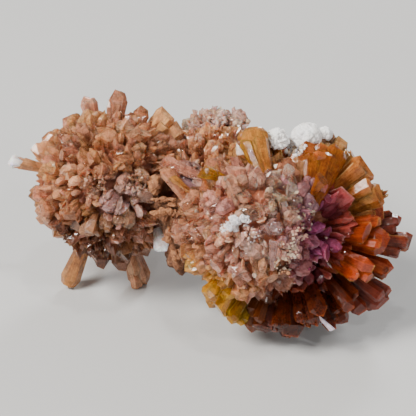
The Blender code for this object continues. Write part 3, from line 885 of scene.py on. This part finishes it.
chance = random.Random(8)
rock_lumps = [
    lump(f"rock_{i}", middle, half_size, 6, 0.7, 0.6, 9 + i)
    for i, (middle, half_size) in enumerate(ROCK_LUMPS)
]
for rock in rock_lumps:
    hollowed(rock)
pieces["rusty_rock"] = joined("rusty_rock", rock_lumps)
bright = ridge_lumps("rib", seen_at(-17.0, 3.6, 2.6), seen_at(-12.9, 3.3, 2.6), 0.48, 4, chance)
bright += ridge_lumps("ledge", seen_at(-17.2, 2.3, 2.8), seen_at(-13.2, 2.2, 2.9), 0.55, 4, chance)
bright.append(lump("dome", seen_at(-17.0, 5.8, 1.4), (1.1, 1.35, 1.3), 5, 0.35, 1.0, 2))
NODULES = ((-15.2, -1.0, 1.0), (-13.0, -1.9, 1.1), (-12.0, -3.2, 1.2), (-14.2, -3.2, 1.0))
for across, up, size in NODULES:
    bright.append(lump("nodule", seen_at(across, up, 0.6), (size, 0.9 * size, size), 4, 0.5, 1.4, across))
pieces["tan_rock"] = joined("tan_rock", bright)
for name in ("rusty_rock", "tan_rock"):
    print(name, len(pieces[name].data.polygons), "faces")

# %% [markdown]
# The crust is a cauliflower: rounded heads with smaller rounded buds on them. The buds
# follow the golden spiral too, and each is sunk in its head by more than half.

# %% White crust
def powdery(name, lumps, buds, roughness, chance):
    """Rounded lumps with lower ones grown on them."""
    heads = []
    for middle, half_size in lumps:
        heads.append(lump(f"{name}_head", middle, half_size, 5, roughness, 1.1, 3))
        for direction in spiral_directions(buds, 0.25, chance):
            direction.normalize()
            share = chance.uniform(0.35, 0.6)
            place = seen_at(*(a * b * (1.0 - share) for a, b in zip(direction, half_size)), middle)
            size = 1.06 * share * min(half_size)
            heads.append(lump(f"{name}_bud", place, (size,) * 3, 4, 0.5 * roughness, 2.0, 5))
    return joined(name, heads)


BUDS = 18
CRUST_ROUGHNESS = {"white_crust_top": 0.25, "white_crust_ridge": 0.6}
chance = random.Random(3)
for name, lumps in CRUST_LUMPS.items():
    pieces[f"{name}_buds"] = powdery(f"{name}_buds", lumps, BUDS, CRUST_ROUGHNESS[name], chance)
    print(name, len(pieces[f"{name}_buds"].data.polygons), "faces")

# %% [markdown]
# ## Shader arithmetic
# A finish is a graph of nodes, but most of it is sums and products. This small class wraps
# one output of a node, so that an expression such as 1 - mask adds the Math node itself.
# Everything else is added by one method, which takes the node's type, its settings and the
# values or links of its inputs.

# %% Shader helpers
class Shade:
    """One output of a node in a finish."""

    def __init__(self, finish, socket):
        self.finish = finish
        self.socket = socket

    def math(self, operation, *others):
        inputs = dict(enumerate((self, *others)))
        return self.finish.add("Math", {"operation": operation}, inputs)

    def __add__(self, other):
        return self.math("ADD", other)

    def __sub__(self, other):
        return self.math("SUBTRACT", other)

    def __mul__(self, other):
        return self.math("MULTIPLY", other)

    def __rsub__(self, other):
        return self.finish.add("Math", {"operation": "SUBTRACT"}, {0: other, 1: self})

    __radd__ = __add__
    __rmul__ = __mul__

    def clamped(self):
        return self.finish.add("Clamp", {}, {"Value": self})

    def between(self, low, high):
        """0 below low, 1 above high, and smooth between."""
        return self.finish.add(
            "MapRange",
            {"interpolation_type": "SMOOTHSTEP"},
            {"Value": self, "From Min": low, "From Max": high},
        )


class Finish:
    """A material, and the one way that nodes get into it."""

    def __init__(self, name):
        self.material = bpy.data.materials.new(name)
        self.material.use_nodes = True
        self.tree = self.material.node_tree
        self.tree.nodes.clear()

    def add(self, kind, settings=None, inputs=None, output=0):
        node = self.tree.nodes.new("ShaderNode" + kind)
        for key, value in (settings or {}).items():
            setattr(node, key, value)
        for key, value in (inputs or {}).items():
            if isinstance(value, Shade):
                self.tree.links.new(value.socket, node.inputs[key])
            else:
                node.inputs[key].default_value = value
        return Shade(self, node.outputs[output])

    def mixed(self, factor, first, second, blend="MIX"):
        """Two colours in a Mix node."""
        colours = {0: factor}
        for key, value in ((6, first), (7, second)):
            colours[key] = value if isinstance(value, Shade) else (*value, 1)
        return self.add("Mix", {"data_type": "RGBA", "blend_type": blend}, colours, 2)

    def noise(self, vector, scale, detail=3, roughness=0.5):
        inputs = {"Vector": vector, "Scale": scale, "Detail": detail, "Roughness": roughness}
        return self.add("TexNoise", {}, inputs)

    def shown(self, surface):
        output = self.tree.nodes.new("ShaderNodeOutputMaterial")
        self.tree.links.new(surface.socket, output.inputs["Surface"])
        return self.material


print("finishes are built from expressions")

# %% [markdown]
# ## Creedite
# A blade is clear where it is thin and sound, and milky where it is full of tiny cracks, so
# its finish is two shaders mixed: tinted glass, and a waxy body that light sinks into. The
# clearness that was given to each blade decides how much there is of each, and clouds of
# noise break it up. Growth lines run along the blade, as a fine bump. Light crosses the
# surface of a clear blade twice, so its glass gets the square root of the blade's colour.

# %% Creedite finish
def creedite(name, clearer, glow):
    """clearer is added to every blade's clearness, and glow is how deep light sinks in, in metres."""
    finish = Finish(name)
    tint = finish.add("Attribute", {"attribute_name": "blade_colour"})
    clear = finish.add("Attribute", {"attribute_name": "blade_clear"}, output=2)
    place = finish.add("Attribute", {"attribute_name": "blade_place"}, output=1)
    clouds = finish.noise(place, 0.9, 4, 0.6)
    cracks = finish.noise(place, 3.5, 5, 0.7)
    milk = (clouds * 0.6 + cracks * 0.4).between(0.4, 0.6)
    depth = finish.add("SeparateXYZ", {}, {0: place}, 2)
    near_tip = depth.between(-4.0, -0.3)
    along = finish.add("VectorMath", {"operation": "MULTIPLY"}, {0: place, 1: (1.0, 1.0, 0.1)})
    lines = finish.noise(along, 5.0, 4, 0.65)
    grains = finish.add("TexVoronoi", {"feature": "F1"}, {"Vector": place, "Scale": 2.6}, 0)
    height = lines * 0.6 + cracks * 0.2 + grains * 0.3 + clouds * 2.0
    bump = finish.add("Bump", {}, {"Strength": 0.16, "Distance": 0.00016, "Height": height})
    # Real colour and painted shade: blades grow darker and redder towards the root, partly their deeper
    # colour at the base, partly painted shade in the gaps between the blades
    rusty = finish.mixed(0.7 - 0.7 * near_tip, tint, (0.5, 0.3, 0.24), "MULTIPLY")
    streaked = finish.mixed(0.4 * lines.between(0.5, 0.36), rusty, (0.4, 0.26, 0.2), "MULTIPLY")
    frosted = finish.mixed(1.0, tint, (0.38, 0.45, 0.5), "DODGE")
    body_tint = finish.mixed(0.3 * lines.between(0.5, 0.66) + 0.2 * milk, streaked, frosted)
    body = finish.add(
        "BsdfPrincipled",
        {"subsurface_method": "RANDOM_WALK"},
        {
            "Base Color": body_tint,
            "Roughness": 0.06,
            "IOR": 1.46,
            "Subsurface Weight": 0.85,
            "Subsurface Radius": (1.0, 0.7, 0.5),
            "Subsurface Scale": glow,
            "Normal": bump,
        },
    )
    glass_tint = finish.add("Gamma", {}, {"Color": tint, "Gamma": 0.5})
    glass = finish.add(
        "BsdfPrincipled",
        {},
        {
            "Base Color": glass_tint,
            "Roughness": 0.02,
            "IOR": 1.46,
            "Transmission Weight": 1.0,
            "Normal": bump,
        },
    )
    share = 0.88 * (clear + clearer + 0.1 + 0.12 * near_tip - 0.35 * milk).clamped()
    return finish.shown(finish.add("MixShader", {}, {0: share, 1: body, 2: glass}))


def powder(name):
    finish = Finish(name)
    tint = finish.add("Attribute", {"attribute_name": "blade_colour"})
    inputs = {
        "Base Color": tint,
        "Roughness": 0.75,
        "Subsurface Weight": 0.6,
        "Subsurface Radius": (1.0, 0.8, 0.6),
        "Subsurface Scale": 0.0003,
    }
    return finish.shown(finish.add("BsdfPrincipled", {}, inputs))


# The first one whose word is in a piece's name is used.
BLADE_FINISHES = {
    "fan": creedite("deep_orange_creedite", 0.0, 0.002),
    "large": creedite("creedite", 0.1, 0.0005),
    "blades": creedite("clearer_creedite", 0.2, 0.0005),
}
for name, piece in pieces.items():
    if "blades" in name:
        finish = next(finish for word, finish in BLADE_FINISHES.items() if word in name)
        piece.data.materials.append(finish)
pieces["powder_grains"].data.materials.append(powder("powder"))
print("creedite on", sum("blades" in name for name in pieces), "pieces")

# %% [markdown]
# ## Rock, crust and core
# The cores are the same mineral gone milky, stained by rust. The rock is opaque, rust brown
# and tan, made darker inside the hollow as painted shade and lighter tan where it stands out
# as painted light, and the crust is chalk white with a little cream.
# Noise in the object's own place gives the colour and the grain of all of them.

# %% Rock, crust and core finishes
Stone = namedtuple("Stone", "pieces base blotches grains scale roughness depth", defaults=[0.0002])
STONES = {
    "milky_core": Stone("grown_cores", (0.24, 0.07, 0.03), (0.14, 0.04, 0.02), (0.4, 0.18, 0.1), 400, 0.5),
    "rosy_core": Stone("core_front", (0.4, 0.13, 0.06), (0.28, 0.08, 0.04), (0.56, 0.3, 0.2), 400, 0.5),
    # Painted shade and light: the rusty rock is darkened for the hollow, and the tan rock is its lighter,
    # lit copy where it stands out
    "rusty_rock": Stone("rusty", (0.2, 0.075, 0.03), (0.09, 0.035, 0.015), (0.4, 0.18, 0.08), 500, 0.85),
    "tan_rock": Stone("tan", (0.38, 0.16, 0.065), (0.2, 0.075, 0.03), (0.56, 0.3, 0.15), 600, 0.8),
    "chalky_crust": Stone(
        "crust", (0.92, 0.91, 0.9), (0.85, 0.82, 0.78), (0.95, 0.95, 0.94), 700, 0.8, 0.0001
    ),
}


def mottled(name, stone):
    finish = Finish(name)
    place = finish.add("TexCoord", output=3)
    blotches = finish.noise(place, stone.scale, 4, 0.6).between(0.38, 0.62)
    grain = finish.noise(place, stone.scale * 5, 5, 0.7)
    colour = finish.mixed(blotches, stone.base, stone.blotches)
    colour = finish.mixed(grain.between(0.55, 0.7), colour, stone.grains)
    bump = finish.add("Bump", {}, {"Strength": 0.7, "Distance": stone.depth, "Height": grain})
    inputs = {"Base Color": colour, "Roughness": stone.roughness, "Normal": bump}
    return finish.shown(finish.add("BsdfPrincipled", {}, inputs))


for finish_name, stone in STONES.items():
    finish = mottled(finish_name, stone)
    for name, piece in pieces.items():
        if stone.pieces in name:
            piece.data.materials.append(finish)
print(len(bpy.data.materials), "finishes")

# %% [markdown]
# ## Riding on the frame
# Each piece is tied to the frame's one body and takes the place of the plain solid it
# dresses.

# %% Tie the pieces to the frame
CRYSTALS = ("creedite_crystals", "orange_creedite")
STANDS_FOR = {
    "blades": CRYSTALS,
    "core": CRYSTALS,
    "grains": CRYSTALS,
    "rock": ("matrix_rock", "brown_rock"),
    "crust_top": ("white_crust_top", "white_crust"),
    "crust_ridge": ("white_crust_ridge", "white_crust"),
}
for name, piece in pieces.items():
    node, slot = next(pair for key, pair in STANDS_FOR.items() if key in name)
    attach(piece, "root")
    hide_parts(node)
print(len(pieces), "pieces ride on the frame")

# %% [markdown]
# ## Floor, light and camera
# The cluster lies on a plain pale floor. One broad light from the upper left and a weaker
# one from the right keep the shading soft, as in a studio, and a narrow one behind lights
# the edges of the clear blades. Four small faint lamps add the sparkle of their facets.

# %% Floor and light
FLOOR_SIZE = 6
bpy.ops.mesh.primitive_plane_add(size=FLOOR_SIZE)
floor = bpy.context.object
floor.name = "floor"
pale = Finish("pale_floor")
pale_surface = pale.add("BsdfPrincipled", {}, {"Base Color": (0.55, 0.55, 0.54, 1), "Roughness": 0.7})
floor.data.materials.append(pale.shown(pale_surface))

world = bpy.data.worlds.new("soft_room")
world.use_nodes = True
room = world.node_tree.nodes["Background"]
room.inputs["Color"].default_value = (1.0, 0.96, 0.93, 1)
room.inputs["Strength"].default_value = 0.22
bpy.context.scene.world = world


LIT_POINT = Vector((0, 0, 0.012))


def soft_light(name, place, size, power, colour=(1, 1, 1)):
    light = bpy.data.lights.new(name, "AREA")
    light.shape = "DISK"
    light.size = size
    light.energy = power
    light.color = colour
    obj = bpy.data.objects.new(name, light)
    obj.location = place
    obj.rotation_euler = (LIT_POINT - obj.location).to_track_quat("-Z", "Y").to_euler()
    bpy.context.scene.collection.objects.link(obj)


soft_light("key", (-0.32, -0.18, 0.40), 0.24, 5.2, (1.0, 0.97, 0.93))
soft_light("fill", (0.4, -0.35, 0.25), 0.12, 0.55, (0.93, 0.96, 1.0))
soft_light("edge", (0.12, 0.4, 0.3), 0.12, 1.2)
GLINTS = ((-0.1, -0.5, 0.2), (0.22, -0.3, 0.42), (-0.5, -0.3, 0.1), (0.05, -0.1, 0.55))
for i, place in enumerate(GLINTS):
    soft_light(f"glint_{i}", place, 0.04, 0.45)
print("three lights and four faint lamps")

# %% [markdown]
# The camera stands far off with a long lens, as for a close photograph of a small thing, and
# looks down at thirty degrees. The right ball's place in the photograph says where it aims.

# %% Camera
PIXEL_MM = 0.128
PHOTO_MIDDLE = 208
RIGHT_BALL_PIXEL = (288, 230)
SENSOR = 36
DISTANCE = 600
aim = seen_at(
    (PHOTO_MIDDLE - RIGHT_BALL_PIXEL[0]) * PIXEL_MM,
    (RIGHT_BALL_PIXEL[1] - PHOTO_MIDDLE) * PIXEL_MM,
    0,
)
camera_data = bpy.data.cameras.new("camera")
camera_data.sensor_width = SENSOR
camera_data.clip_start = 0.01
camera_data.lens = SENSOR * DISTANCE / (2 * PHOTO_MIDDLE * PIXEL_MM)
camera = bpy.data.objects.new("camera", camera_data)
camera.matrix_world = Matrix.Translation((aim + DISTANCE * TOWARDS) * MM) @ FROM_VIEW.to_4x4()
bpy.context.scene.collection.objects.link(camera)
bpy.context.scene.camera = camera
print("lens, mm:", round(camera_data.lens))
